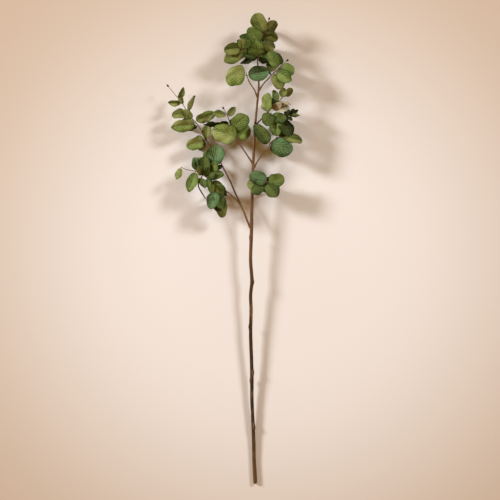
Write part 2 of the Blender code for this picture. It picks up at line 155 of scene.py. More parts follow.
@dataclass(frozen=True)
class BarkSurface:
    """What all barks share: how strongly each marking shows, from 0 to 1, and how high it lies.

    The bark turns paler over young_wood and again over cut_wood, towards the cut end. Both say where
    that starts and ends, in metres along the branch."""

    young_wood: tuple[float, float] = (0.36, 0.6)
    young: float = 0.7
    cut_wood: tuple[float, float] = (0.16, -0.02)
    cut: float = 0.3
    patch: float = 0.65
    scar: float = 0.65
    gloss: float = 0.12
    fibre_polish: float = -0.15
    furrow_roughness: float = 0.1
    scar_height: float = 0.5
    bump_depth: float = 0.4 * MM


class Leaf(NamedTuple):
    """A leaf on a twig: share of the twig's length at its root, heading and rise of its midrib in
    degrees, reach from root to tip and width in millimetres, roll about the midrib in degrees, tone.

    The blade folds up along its midrib by fold degrees. Its tip droops and bends to the left by a
    share of its length."""

    share: float
    heading: float
    rise: float
    reach: float
    width: float
    roll: float
    tone: Tone
    fold: float = 9.0
    bend: float = 0.0
    droop: float = 0.07


class Twig(NamedTuple):
    """A leafy twig. Its route holds (x, y, z, radius) in millimetres. The first bare_points of them
    are woody and belong to the stem; a side twig inside a spray has none."""

    route: tuple[tuple[float, float, float, float], ...]
    leaves: tuple[Leaf, ...]
    bare_points: int = 0
    bud: bool = False


STEM_ROUTE = (
    (2, -23, 3.7, 2.9), (1.9, -20.5, 3.7, 4.1), (1, -5, 3.7, 4.4), (0, 14, 3.7, 4.3), (-1, 36, 3.8, 4.1),
    (-2, 83, 5.5, 4.0), (-4, 129, 8, 4.0), (-6, 176, 10.5, 3.9), (-6, 223, 13, 4.0), (-7, 270, 16, 3.9),
    (-9, 328, 19, 3.9), (-8, 386, 22, 3.8), (-9, 421, 24, 3.8), (-6, 456, 26, 3.9), (-9, 503, 28, 3.8),
    (-7, 573, 31, 3.9), (-6, 643, 34, 3.6), (-3, 725, 36, 3.1), (1, 807, 38, 2.6), (6, 865, 39, 2.3),
    (10, 909, 39, 2.0), (8, 956, 40, 1.5), (7, 966, 40, 1.4),
)

# Each knot is a share of the stem's length and the side it stands out to, in degrees about +Z.
STEM_KNOTS = ((0.135, 0), (0.246, 185), (0.265, 5), (0.373, 180), (0.480, 0), (0.585, 175), (0.715, 10))

TOP_SPRAY = (
    Twig(
        route=STEM_ROUTE + (
            (7, 977, 42, 1.3), (9, 994, 46, 1.2), (14, 1010, 50, 1.1), (20, 1026, 52, 1.0),
            (26, 1037, 52, 0.9), (31, 1050, 52, 0.8), (34, 1066, 50, 0.7),
        ),
        bare_points=len(STEM_ROUTE),
        bud=True,
        leaves=(
            Leaf(0.66, 118, 15, 50, 41, -20, Tone.OLIVE, 14, 0.0, 0.12),
            Leaf(0.64, 124, -14, 50, 26, 30, Tone.DEEP), Leaf(0.62, 48, -10, 45, 29, -15, Tone.MOSS, 12),
            Leaf(0.68, -32, -16, 36, 25, 20, Tone.OLIVE), Leaf(0.40, 125, 26, 48, 38, 14, Tone.FRESH, 20),
            Leaf(0.78, -97, -20, 38, 26, 0, Tone.DEEP), Leaf(0.44, 166, -6, 52, 31, -26, Tone.DEEP, 16),
            Leaf(0.14, 130, 22, 44, 30, -16, Tone.FRESH, 14),
            Leaf(0.15, 52, 16, 40, 30, 16, Tone.FRESH, 14),
            Leaf(0.10, 159, 28, 40, 26, 10, Tone.DEEP, 14), Leaf(0.08, 99, 36, 45, 41, 0, Tone.FRESH, 16),
            Leaf(0.44, -24, 12, 36, 28, 8, Tone.MOSS, 14), Leaf(0.17, 11, -18, 31, 23, 0, Tone.FRESH),
            Leaf(0.08, -167, 0, 42, 28, 60, Tone.DARK), Leaf(0.08, -17, 0, 26, 22, -35, Tone.DARK),
            Leaf(0.30, -150, -58, 52, 38, 0, Tone.BACK), Leaf(0.40, -30, -60, 50, 36, 10, Tone.BACK),
            Leaf(0.60, 80, -58, 48, 36, 0, Tone.BACK),
        ),
    ),
    Twig(
        route=(
            (7, 977, 42, 1.0), (-11, 984, 46, 0.9), (-27, 995, 50, 0.8), (-35, 1005, 50, 0.7),
            (-39, 1013, 48, 0.6),
        ),
        bud=True,
        leaves=(
            Leaf(0.62, 104, 26, 26, 21, 0, Tone.LIGHT), Leaf(0.72, -170, 8, 41, 31, -12, Tone.OLIVE, 18),
            Leaf(0.52, -155, -4, 56, 32, 4, Tone.OLIVE, 16), Leaf(0.70, 165, -60, 50, 38, 10, Tone.BACK),
        ),
    ),
)

UPPER_LEFT_SPRAY = (
    Twig(
        route=(
            (7, 883, 39, 1.6), (0, 900, 43, 1.3), (-11, 916, 48, 1.1), (-15, 925, 50, 1.0),
            (-18, 933, 52, 0.9), (-20, 942, 53, 0.7),
        ),
        bare_points=4,
        leaves=(
            Leaf(0.50, 176, 5, 48, 51, -10, Tone.LIGHT, 12, 0.2),
            Leaf(0.50, 11, 8, 53, 38, 16, Tone.BLUE, 18),
        ),
    ),
)

UPPER_RIGHT_SPRAY = (
    Twig(
        route=(
            (11, 899, 39, 1.5), (18, 911, 42, 1.2), (29, 923, 45, 1.1), (36, 930, 47, 1.0),
            (41, 936, 48, 1.0), (50, 944, 50, 0.9), (60, 954, 51, 0.8), (69, 962, 50, 0.7),
            (77, 969, 48, 0.6),
        ),
        bare_points=4,
        bud=True,
        leaves=(
            Leaf(0.49, 117, 14, 45, 32, 14, Tone.FRESH, 18), Leaf(0.66, 106, -20, 36, 20, 30, Tone.DARK),
            Leaf(0.60, -24, 5, 35, 31, -12, Tone.FRESH, 14),
            Leaf(0.37, -37, 18, 43, 31, 8, Tone.FRESH, 16), Leaf(0.30, 118, -34, 42, 24, 0, Tone.MOSS),
            Leaf(0.22, -62, 12, 42, 32, -16, Tone.OLIVE, 16), Leaf(0.09, 123, 10, 18, 10, 60, Tone.DARK),
            Leaf(0.50, -45, -62, 52, 36, 0, Tone.BACK),
        ),
    ),
)

RIGHT_SPRAY = (
    Twig(
        route=(
            (4, 817, 38, 1.5), (9, 825, 40, 1.3), (18, 834, 42, 1.2), (22, 839, 43, 1.1),
            (32, 849, 44, 1.1), (43, 860, 45, 1.0), (55, 872, 46, 0.9), (64, 881, 46, 0.8),
            (71, 888, 45, 0.6),
        ),
        bare_points=4,
        leaves=(
            Leaf(0.14, 88, 15, 47, 31, -24, Tone.LIGHT, 26), Leaf(0.86, 78, 15, 24, 19, -15, Tone.OLIVE),
            Leaf(0.95, 39, -5, 27, 18, 15, Tone.MOSS), Leaf(0.66, 108, 5, 30, 19, 35, Tone.FRESH),
            Leaf(0.35, 23, 30, 29, 19, 10, Tone.RUST), Leaf(0.38, 4, 4, 40, 24, -15, Tone.PALE, 14),
            Leaf(0.69, -10, 5, 30, 16, -68, Tone.RUST), Leaf(0.22, -92, 18, 35, 34, -10, Tone.DEEP, 14),
            Leaf(0.40, 60, -60, 50, 36, 0, Tone.BACK),
        ),
    ),
    Twig(
        route=(
            (27, 844, 43.5, 1.0), (39, 839, 42, 1.0), (53, 831, 42, 0.9), (67, 831, 44, 0.9),
            (78, 839, 46, 0.8), (88, 846, 46, 0.6),
        ),
        leaves=(
            Leaf(0.18, -14, 28, 40, 28, 12, Tone.DEEP, 20),
            Leaf(0.32, -82, 8, 42, 31, 16, Tone.FRESH, 16),
            Leaf(0.55, -56, 20, 45, 34, -10, Tone.DARK, 16), Leaf(0.48, -77, -12, 44, 28, 0, Tone.DEEP),
            Leaf(0.83, 29, 10, 28, 11, 20, Tone.DARK), Leaf(0.87, -1, 20, 25, 10, -10, Tone.DEEP),
            Leaf(0.92, 55, 10, 16, 9, 10, Tone.DARK), Leaf(0.78, 73, 25, 19, 10, -20, Tone.DARK),
            Leaf(0.75, 100, 0, 16, 9, 10, Tone.DEEP), Leaf(0.79, -33, 20, 16, 9, 10, Tone.DEEP),
            Leaf(0.50, -20, -60, 48, 34, 0, Tone.BACK),
        ),
    ),
)

LOWER_RIGHT_SPRAY = (
    Twig(
        route=(
            (-2, 718, 36, 1.7), (8, 735, 39, 1.4), (20, 753, 42, 1.3), (34, 770, 45, 1.2),
            (37, 776, 46, 1.2), (46, 784, 46, 1.0), (55, 789, 45, 0.9), (63, 790, 44, 0.7),
        ),
        bare_points=4,
        leaves=(
            Leaf(0.08, 127, 8, 58, 34, 14, Tone.DEEP, 18), Leaf(0.14, -19, 10, 55, 44, 10, Tone.BLUE, 12),
            Leaf(0.90, -3, -6, 53, 32, -30, Tone.OLIVE, 22, -0.1),
            Leaf(0.20, -22, -58, 50, 38, 0, Tone.BACK),
        ),
    ),
)

CENTRE_LEFT_SPRAY = (
    Twig(
        route=(
            (-3, 727, 36, 1.7), (-22, 755, 40, 1.4), (-34, 773, 43, 1.3), (-37, 778, 44, 1.2),
            (-41, 788, 45, 1.1), (-49, 804, 46, 1.1), (-57, 823, 47, 1.0), (-64, 842, 48, 0.9),
            (-69, 851, 48, 0.7), (-73, 858, 47, 0.6),
        ),
        bare_points=4,
        bud=True,
        leaves=(
            Leaf(0.11, 157, 8, 60, 50, -8, Tone.LIGHT, 14, 0.06),
            Leaf(0.06, 57, -10, 44, 35, 12, Tone.FRESH, 14),
            Leaf(0.39, 41, 18, 47, 42, 6, Tone.FRESH, 14), Leaf(0.57, -171, 4, 61, 20, -60, Tone.DARK),
            Leaf(0.44, 177, -6, 44, 22, 10, Tone.OLIVE, 18),
            Leaf(0.78, 172, 10, 35, 20, 30, Tone.OLIVE, 18),
            Leaf(0.74, 50, 16, 28, 18, -20, Tone.MOSS, 20), Leaf(0.22, 150, -60, 52, 38, 0, Tone.BACK),
            Leaf(0.40, 50, -60, 52, 38, 0, Tone.BACK),
        ),
    ),
)

LEFT_SPRAY = (
    Twig(
        route=(
            (-9, 578, 31, 2.2), (-14, 588, 31, 2.1), (-22, 608, 31, 2.0), (-32, 632, 30, 1.9),
            (-46, 662, 29, 1.8), (-57, 688, 28, 1.6), (-69, 711, 27, 1.5), (-81, 734, 26, 1.4),
            (-97, 762, 26, 1.3), (-108, 777, 27, 1.2), (-113, 784, 28, 1.2), (-121, 796, 30, 1.1),
            (-126, 809, 31, 1.1), (-134, 821, 32, 1.0), (-147, 835, 33, 0.9), (-158, 849, 34, 0.9),
            (-166, 865, 34, 0.8), (-176, 879, 33, 0.8), (-186, 890, 32, 0.7), (-203, 911, 30, 0.6),
        ),
        bare_points=10,
        bud=True,
        leaves=(
            Leaf(0.05, -164, 12, 48, 34, -12, Tone.LIGHT, 26, 0.06, 0.16),
            Leaf(0.04, 88, 10, 42, 24, -30, Tone.OLIVE, 22),
            Leaf(0.36, 25, 8, 53, 28, 22, Tone.LIGHT, 18, -0.08),
            Leaf(0.33, -169, 8, 60, 33, -18, Tone.LIGHT, 24),
            Leaf(0.28, -167, -12, 43, 16, -30, Tone.DEEP), Leaf(0.40, 140, 15, 32, 22, 6, Tone.OLIVE, 16),
            Leaf(0.53, -168, 10, 36, 25, 14, Tone.OLIVE, 18),
            Leaf(0.52, 70, 10, 44, 17, -40, Tone.MOSS, 20),
            Leaf(0.73, 78, 10, 31, 15, 20, Tone.OLIVE, 26, -0.1),
            Leaf(0.69, -170, 8, 32, 17, -25, Tone.LIGHT, 24, -0.16),
            Leaf(0.65, 116, 7, 25, 13, 20, Tone.OLIVE, 18), Leaf(0.07, -150, -42, 44, 34, 0, Tone.BACK),
            Leaf(0.40, -145, -45, 44, 30, 0, Tone.BACK),
        ),
    ),
)

LOWER_LEFT_SPRAY = (
    Twig(
        route=(
            (-30, 628, 30, 1.7), (-43, 644, 35, 1.5), (-55, 655, 39, 1.4), (-66, 664, 42, 1.3),
            (-76, 671, 44, 1.2), (-90, 681, 46, 1.1), (-104, 690, 47, 1.0), (-116, 699, 47, 1.0),
            (-127, 709, 45, 0.9), (-141, 711, 43, 0.8), (-158, 714, 42, 0.7), (-173, 720, 42, 0.6),
        ),
        bare_points=4,
        leaves=(
            Leaf(0.49, 93, 15, 46, 32, -12, Tone.DEEP, 16),
            Leaf(0.66, 102, 10, 33, 24, 16, Tone.BLUE, 20), Leaf(0.65, 90, -20, 28, 10, 40, Tone.DARK),
            Leaf(0.70, -106, 8, 51, 28, 16, Tone.FRESH, 18, -0.08),
            Leaf(0.50, 5, 16, 46, 27, -18, Tone.DEEP, 16), Leaf(0.98, -115, -8, 31, 16, 10, Tone.LIGHT),
            Leaf(0.45, 84, 34, 28, 16, 15, Tone.DEEP), Leaf(0.41, 37, 40, 24, 16, -15, Tone.DEEP),
            Leaf(0.44, -77, 26, 27, 16, 15, Tone.DEEP), Leaf(0.36, -55, -6, 50, 38, 8, Tone.FRESH, 14),
            Leaf(0.08, -66, -5, 20, 10, 20, Tone.DARK), Leaf(0.22, -80, -60, 50, 38, 0, Tone.BACK),
            Leaf(0.56, 70, -60, 50, 36, 0, Tone.BACK),
        ),
    ),
    Twig(
        route=(
            (-120, 703, 46, 1.0), (-127, 688, 44, 1.3), (-131, 676, 42, 1.5), (-123, 660, 40, 1.6),
            (-114, 646, 38, 1.3),
        ),
        leaves=(
            Leaf(0.06, 114, 36, 28, 17, 0, Tone.OLIVE), Leaf(0.14, -70, 30, 28, 17, -15, Tone.DEEP),
            Leaf(0.18, -146, 20, 15, 12, 10, Tone.DEEP),
        ),
    ),
    Twig(
        route=((-104, 690, 47, 0.9), (-99, 704, 48, 0.9), (-95, 723, 48, 0.7)),
        leaves=(
            Leaf(0.98, 79, 8, 50, 44, -12, Tone.BLUE, 16), Leaf(0.86, 112, -12, 46, 28, 15, Tone.DEEP),
            Leaf(0.72, 141, -22, 53, 20, 0, Tone.LIGHT), Leaf(0.43, 74, 28, 33, 21, -15, Tone.FRESH),
            Leaf(0.78, 15, -12, 24, 12, 20, Tone.DARK),
        ),
    ),
    Twig(
        route=((-90, 681, 46, 1.0), (-91, 667, 45, 0.9), (-85, 650, 43, 0.8), (-78, 641, 42, 0.7)),
        leaves=(
            Leaf(0.36, -106, 14, 45, 30, 5, Tone.BLUE, 10),
            Leaf(0.45, -67, 8, 42, 29, -12, Tone.DEEP, 16),
            Leaf(0.90, -80, -6, 43, 28, -15, Tone.OLIVE, 16), Leaf(0.70, -95, -18, 36, 22, 0, Tone.DARK),
            Leaf(0.55, -100, -62, 48, 34, 0, Tone.BACK),
        ),
    ),
)

SMALL_RIGHT_SPRAY = (
    Twig(
        route=(
            (-5, 667, 34.5, 1.6), (-1, 669.5, 37, 1.5), (3, 672, 39.5, 1.4), (11, 677, 44.5, 1.2),
            (26, 683, 48, 1.0), (35, 686, 49, 0.8),
        ),
        bare_points=3,
        leaves=(
            Leaf(0.90, 158, 8, 46, 34, 6, Tone.BLUE, 14), Leaf(0.61, -176, -2, 39, 32, 0, Tone.LIGHT, 12),
            Leaf(0.72, -142, 8, 39, 30, 10, Tone.DEEP, 14),
            Leaf(0.80, -52, 8, 41, 36, -10, Tone.DEEP, 14), Leaf(0.84, 12, 6, 41, 36, 10, Tone.FRESH, 16),
            Leaf(0.50, 8, -8, 34, 30, 0, Tone.DARK), Leaf(0.80, -60, -62, 52, 38, 0, Tone.BACK),
        ),
    ),
)

SPRAYS: dict[str, tuple[Twig, ...]] = {
    "leafy_spray_top": TOP_SPRAY,
    "leafy_spray_upper_left": UPPER_LEFT_SPRAY,
    "leafy_spray_upper_right": UPPER_RIGHT_SPRAY,
    "leafy_spray_right": RIGHT_SPRAY,
    "leafy_spray_lower_right": LOWER_RIGHT_SPRAY,
    "leafy_spray_centre_left": CENTRE_LEFT_SPRAY,
    "leafy_spray_left": LEFT_SPRAY,
    "leafy_spray_lower_left": LOWER_LEFT_SPRAY,
    "leafy_spray_small_right": SMALL_RIGHT_SPRAY,
}


def linear(colour: str) -> tuple[float, float, float, float]:
    """Turns a hex colour into linear red, green, blue and alpha.

    Args:
        colour: An sRGB colour such as "#67762e".

    Returns:
        The four linear channels, alpha 1.
    """
    channels = [int(colour[i:i + 2], 16) / 255 for i in (1, 3, 5)]
    red, green, blue = ((c / 12.92 if c <= 0.04045 else ((c + 0.055) / 1.055) ** 2.4) for c in channels)
    return red, green, blue, 1.0


class Wiring:
    """Places nodes in one shader tree and links them."""

    def __init__(self, tree: bpy.types.ShaderNodeTree) -> None:
        """Takes the tree that the nodes go in."""
        self.tree = tree

    def feed(self, socket: bpy.types.NodeSocket, value: object) -> None:
        """Links a socket to another, or sets its constant.

        Args:
            socket: The input to feed.
            value: An output socket, a number, a colour or a vector.
        """
        if isinstance(value, bpy.types.NodeSocket):
            self.tree.links.new(value, socket)
        else:
            socket.default_value = value

    def node(
        self, kind: str, settings: dict[str, object] | None = None, **inputs: object
    ) -> bpy.types.Node:
        """Adds a node.

        Args:
            kind: The node's type, such as "ShaderNodeBump".
            settings: Attributes to set on the node.
            inputs: Values for its inputs, an underscore in place of each space.

        Returns:
            The new node.
        """
        made = self.tree.nodes.new(kind)
        for name, value in (settings or {}).items():
            setattr(made, name, value)
        for name, value in inputs.items():
            self.feed(made.inputs[name.replace("_", " ")], value)
        return made

    def math(self, operation: str, *values: object) -> bpy.types.NodeSocket:
        """Adds a Math node.

        Args:
            operation: Its operation, such as "MULTIPLY".
            values: Its one to three inputs.

        Returns:
            The result's socket.
        """
        made = self.node("ShaderNodeMath", {"operation": operation})
        for socket, value in zip(made.inputs, values):
            self.feed(socket, value)
        return made.outputs[0]

    def fade(self, value: object, start: float, end: float) -> bpy.types.NodeSocket:
        """Adds a smooth step from 0 at start to 1 at end.

        Args:
            value: What is measured.
            start: Where the mask is 0.
            end: Where the mask is 1, below start for a falling step.

        Returns:
            The mask's socket.
        """
        low, high = min(start, end), max(start, end)
        smooth = {"interpolation_type": "SMOOTHSTEP"}
        made = self.node("ShaderNodeMapRange", smooth, Value=value, From_Min=low, From_Max=high)
        return made.outputs[0] if start < end else self.math("SUBTRACT", 1.0, made.outputs[0])

    def mix(self, factor: object, first: object, second: object) -> bpy.types.NodeSocket:
        """Adds a colour mix.

        Args:
            factor: How much of the second colour shows.
            first: The colour at factor 0.
            second: The colour at factor 1.

        Returns:
            The mixed colour's socket.
        """
        made = self.node("ShaderNodeMix", {"data_type": "RGBA"})
        for socket, value in zip((made.inputs[0], made.inputs[6], made.inputs[7]), (factor, first, second)):
            self.feed(socket, value)
        return made.outputs[2]

    def mark(
        self, colour: bpy.types.NodeSocket, mask: object, share: float, paint: str
    ) -> bpy.types.NodeSocket:
        """Lays a marking over a colour.

        Args:
            colour: The colour so far.
            mask: Where the marking is.
            share: How strongly it shows there, from 0 to 1.
            paint: Its own colour, as a hex string.

        Returns:
            The new colour's socket.
        """
        return self.mix(self.math("MULTIPLY", mask, share), colour, linear(paint))


def new_group(
    name: str, inputs: Sequence[tuple[str, str]], outputs: Sequence[str]
) -> bpy.types.ShaderNodeTree:
    """Makes an empty shader node group with its group input and output nodes.

    Args:
        name: The group's name.
        inputs: The name and the socket type of each input.
        outputs: The name of each output, all of them masks.

    Returns:
        The group.
    """
    group = bpy.data.node_groups.new(name, "ShaderNodeTree")
    for label, kind in inputs:
        group.interface.new_socket(label, in_out="INPUT", socket_type=kind)
    for label in outputs:
        group.interface.new_socket(label, in_out="OUTPUT", socket_type="NodeSocketFloat")
    group.nodes.new("NodeGroupInput")
    group.nodes.new("NodeGroupOutput")
    return group


@dataclass(frozen=True)
class Pattern:
    """Draws the masks that the materials of the branch share, as node groups.

    Each border says where a mask starts from 0 and where it reaches 1."""

    laterals: float = 6.5
    vein_slant: float = 0.7
    vein_bow: float = 0.85
    vein_wobble: float = 1.3
    vein_width: float = 0.24
    vein_core: float = 0.2
    vein_thinning: tuple[float, float] = (1.05, 0.35)
    wobble_scale: float = 3.0
    midrib_half_width: float = 0.055
    midrib_core: float = 0.3
    # The next four shape the painted light and shade on one side of the midrib and the painted shade near
    # the stalk.
    shading_half_wobble: float = 0.9
    shading_half_border: tuple[float, float] = (-0.12, 0.3)
    base_shade_wobble: float = 0.3
    base_shade_border: tuple[float, float] = (0.5, 0.12)
    rim_width: float = 0.10
    broad_border: tuple[float, float] = (0.36, 0.64)
    fine_to_broad: float = 7.0
    bark_marks: tuple[tuple[str, tuple[float, float, float], tuple[float, float]], ...] = (
        ("Fibre", (1600.0, 55.0, 1600.0), (0.3, 0.7)),
        ("Patch", (220.0, 28.0, 220.0), (0.52, 0.68)),
        ("Scar", (500.0, 900.0, 500.0), (0.66, 0.76)),
    )

    def blade_group(self) -> bpy.types.ShaderNodeTree:
        """Builds the group that draws midrib, side veins and rim over a blade's own coordinates.

        Returns:
            The group, with inputs Length, Side and Seed and outputs Midrib, Laterals, Rim, Half,
            which marks one side of the midrib for painted light and shade, and Base, the painted shade
            that fades out from the stalk.
        """
        group = new_group(
            "blade veins",
            [("Length", "NodeSocketFloat"), ("Side", "NodeSocketFloat"), ("Seed", "NodeSocketFloat")],
            ["Midrib", "Laterals", "Rim", "Half", "Base"],
        )
        wiring = Wiring(group)
        given, put_out = group.nodes["Group Input"].outputs, group.nodes["Group Output"].inputs
        centred = wiring.math("MULTIPLY_ADD", given["Side"], 2.0, -1.0)
        off_rib = wiring.math("ABSOLUTE", centred)
        midrib = wiring.fade(off_rib, self.midrib_half_width, self.midrib_half_width * self.midrib_core)
        wiring.feed(put_out["Midrib"], midrib)
        place = wiring.node("ShaderNodeCombineXYZ", X=given["Length"], Y=centred, Z=given["Seed"]).outputs[0]
        wobbling = wiring.node("ShaderNodeTexNoise", Vector=place, Scale=self.wobble_scale, Detail=2.0)
        wobble = wobbling.outputs[0]
        bowed = wiring.math("POWER", off_rib, self.vein_bow)
        slanted = wiring.math("MULTIPLY_ADD", bowed, -self.vein_slant, given["Length"])
        shift = wiring.math("MULTIPLY", wobble, self.vein_wobble)
        phase = wiring.math("MULTIPLY_ADD", slanted, self.laterals, shift)
        from_vein = wiring.math("PINGPONG", phase, 0.5)
        veins = wiring.fade(from_vein, self.vein_width, self.vein_width * self.vein_core)
        thinning = wiring.fade(off_rib, *self.vein_thinning)
        wiring.feed(put_out["Laterals"], wiring.math("MULTIPLY", veins, thinning))
        # Painted light and shade: one side of the midrib, chosen by the seed.
        flip = wiring.math("MULTIPLY_ADD", wiring.math("ROUND", given["Seed"]), 2.0, -1.0)
        uneven = wiring.math("MULTIPLY_ADD", wobble, self.shading_half_wobble, -self.shading_half_wobble / 2)
        to_side = wiring.math("ADD", wiring.math("MULTIPLY", centred, flip), uneven)
        wiring.feed(put_out["Half"], wiring.fade(to_side, *self.shading_half_border))
        # Painted shade near the stalk, where the leaves crowd over one another.
        uneven_base = wiring.math("MULTIPLY_ADD", wobble, self.base_shade_wobble, given["Length"])
        wiring.feed(put_out["Base"], wiring.fade(uneven_base, *self.base_shade_border))
        along = wiring.math("MULTIPLY_ADD", given["Length"], 2.0, -1.0)
        left = wiring.math("SUBTRACT", 1.0, wiring.math("MULTIPLY", along, along))
        room = wiring.math("SQRT", wiring.math("MAXIMUM", left, 0.0))
        from_edge = wiring.math("MULTIPLY", wiring.math("SUBTRACT", 1.0, off_rib), room)
        wiring.feed(put_out["Rim"], wiring.fade(from_edge, self.rim_width, 0.0))
        return group

    def mottle_group(self) -> bpy.types.ShaderNodeTree:
        """Builds the group of broad and fine blotches over object coordinates.

        Returns:
            The group, with inputs Vector, Seed and Scale and outputs Broad and Fine.
        """
        group = new_group(
            "mottle",
            [("Vector", "NodeSocketVector"), ("Seed", "NodeSocketFloat"), ("Scale", "NodeSocketFloat")],
            ["Broad", "Fine"],
        )
        wiring = Wiring(group)
        given, put_out = group.nodes["Group Input"].outputs, group.nodes["Group Output"].inputs
        place = wiring.node("ShaderNodeVectorMath", {"operation": "ADD"})
        wiring.feed(place.inputs[0], given["Vector"])
        wiring.feed(place.inputs[1], given["Seed"])
        broad = wiring.node(
            "ShaderNodeTexNoise", Vector=place.outputs[0], Scale=given["Scale"], Detail=3.0, Roughness=0.55
        )
        fine_scale = wiring.math("MULTIPLY", given["Scale"], self.fine_to_broad)
        fine = wiring.node("ShaderNodeTexNoise", Vector=place.outputs[0], Scale=fine_scale, Detail=2.0)
        wiring.feed(put_out["Broad"], wiring.fade(broad.outputs[0], *self.broad_border))
        wiring.feed(put_out["Fine"], fine.outputs[0])
        return group

    def bark_group(self) -> bpy.types.ShaderNodeTree:
        """Builds the group of fibres, light patches and small scars that run along the branch.

        Returns:
            The group, with input Vector and outputs Fibre, Patch and Scar.
        """
        group = new_group("bark grain", [("Vector", "NodeSocketVector")], ["Fibre", "Patch", "Scar"])
        wiring = Wiring(group)
        given, put_out = group.nodes["Group Input"].outputs, group.nodes["Group Output"].inputs
        for label, scale, border in self.bark_marks:
            stretched = wiring.node("ShaderNodeMapping", Vector=given["Vector"], Scale=scale).outputs[0]
            spots = wiring.node("ShaderNodeTexNoise", Vector=stretched, Scale=1.0, Detail=3.0).outputs[0]
            wiring.feed(put_out[label], wiring.fade(spots, *border))
        return group


class Palette:
    """Makes and keeps the materials of the branch."""

    def __init__(self, pattern: Pattern, leaf_surface: LeafSurface, bark_surface: BarkSurface) -> None:
        """Builds the shared node groups and every material.

        Args:
            pattern: The pattern whose groups the materials use.
            leaf_surface: What all leaves share.
            bark_surface: What all barks share.
        """
        self.leaf_surface = leaf_surface
        self.bark_surface = bark_surface
        self.blade = pattern.blade_group()
        self.mottle = pattern.mottle_group()
        self.grain = pattern.bark_group()
        self.leaves = {tone: self.leaf(tone, finish) for tone, finish in LEAF_FINISHES.items()}
        self.stem = self.bark("stem bark", STEM_FINISH)
        self.twig = self.bark("twig bark", TWIG_FINISH)
        self.bud = self.bark("bud scales", BUD_FINISH)

    def start(self, name: str) -> tuple[bpy.types.Material, Wiring, bpy.types.Node]:
        """Starts a Principled material.

        Args:
            name: The material's name.

        Returns:
            The material, the wiring of its tree and its shader.
        """
        material = bpy.data.materials.new(name)
        material.use_nodes = True
        return material, Wiring(material.node_tree), material.node_tree.nodes["Principled BSDF"]

    def leaf(self, tone: Tone, finish: LeafFinish) -> bpy.types.Material:
        """Makes the waxy leaf material of one tone.

        Args:
            tone: The tone, which names the material.
            finish: Its colours and roughness.

        Returns:
            The material.
        """
        surface = self.leaf_surface
        material, wiring, shader = self.start(f"leaf {tone.value}")
        place = wiring.node("ShaderNodeTexCoord")
        across = wiring.node("ShaderNodeSeparateXYZ", Vector=place.outputs["UV"])
        seed = wiring.node("ShaderNodeAttribute", {"attribute_name": "leaf_seed"}).outputs["Fac"]
        under = wiring.node("ShaderNodeAttribute", {"attribute_name": "underside"}).outputs["Fac"]
        veins = wiring.node(
            "ShaderNodeGroup", {"node_tree": self.blade},
            Length=across.outputs[0], Side=across.outputs[1], Seed=seed,
        ).outputs
        blotch = wiring.node(
            "ShaderNodeGroup", {"node_tree": self.mottle},
            Vector=place.outputs["Object"], Seed=seed, Scale=surface.blotch_scale,
        ).outputs
        colour = wiring.mix(blotch["Broad"], linear(finish.body), linear(finish.patch))
        tint = wiring.math("FRACT", wiring.math("MULTIPLY", seed, surface.tint_step))
        colour = wiring.mark(colour, tint, surface.tint, finish.patch)
        # Painted light and shade: one side of the midrib is lighter on most tones and darker on the fresh
        # green and rust ones.
        colour = wiring.mark(colour, veins["Half"], surface.half, finish.half)
        # Painted shade near the stalk, in the rim colour, where other leaves cover the blade.
        colour = wiring.mark(colour, veins["Base"], surface.base, finish.rim)
        colour = wiring.mix(under, colour, linear(finish.under))
        colour = wiring.mark(colour, veins["Laterals"], surface.laterals, finish.vein)
        colour = wiring.mark(colour, veins["Rim"], surface.rim, finish.rim)
        colour = wiring.mark(colour, veins["Midrib"], surface.midrib, finish.vein)
        wiring.feed(shader.inputs["Base Color"], colour)
        smoothest = finish.roughness - surface.wax_range / 2
        wax = wiring.math("MULTIPLY_ADD", blotch["Fine"], surface.wax_range, smoothest)
        wiring.feed(shader.inputs["Roughness"], wax)
        sunken = wiring.math("MULTIPLY", veins["Laterals"], surface.lateral_height)
        raised = wiring.math("MULTIPLY_ADD", blotch["Fine"], surface.blotch_height, sunken)
        height = wiring.math("MULTIPLY_ADD", veins["Midrib"], surface.midrib_height, raised)
        depth = surface.bump_depth
        bump = wiring.node("ShaderNodeBump", Strength=surface.bump, Distance=depth, Height=height)
        wiring.feed(shader.inputs["Normal"], bump.outputs[0])
        shader.inputs["Specular IOR Level"].default_value = finish.gloss
        return material

    def bark(self, name: str, finish: BarkFinish) -> bpy.types.Material:
        """Makes a bark material.

        Args:
            name: The material's name.
            finish: Its colours, roughness and relief.

        Returns:
            The material.
        """
        surface = self.bark_surface
        material, wiring, shader = self.start(name)
        place = wiring.node("ShaderNodeTexCoord").outputs["Object"]
        grain = wiring.node("ShaderNodeGroup", {"node_tree": self.grain}, Vector=place).outputs
        along = wiring.node("ShaderNodeSeparateXYZ", Vector=place).outputs[1]
        colour = wiring.mix(grain["Fibre"], linear(finish.dark), linear(finish.mid))
        colour = wiring.mark(colour, wiring.fade(along, *surface.young_wood), surface.young, finish.young)
        colour = wiring.mark(colour, wiring.fade(along, *surface.cut_wood), surface.cut, finish.light)
        colour = wiring.mark(colour, grain["Patch"], surface.patch, finish.light)
        colour = wiring.mark(colour, grain["Scar"], surface.scar, finish.dark)
        wiring.feed(shader.inputs["Base Color"], colour)
        shader.inputs["Specular IOR Level"].default_value = surface.gloss
        roughest = finish.roughness + surface.furrow_roughness
        rough = wiring.math("MULTIPLY_ADD", grain["Fibre"], surface.fibre_polish, roughest)
        wiring.feed(shader.inputs["Roughness"], rough)
        height = wiring.math("MULTIPLY_ADD", grain["Scar"], surface.scar_height, grain["Fibre"])
        depth = surface.bump_depth
        bump = wiring.node("ShaderNodeBump", Strength=finish.relief, Distance=depth, Height=height)
        wiring.feed(shader.inputs["Normal"], bump.outputs[0])
        return material


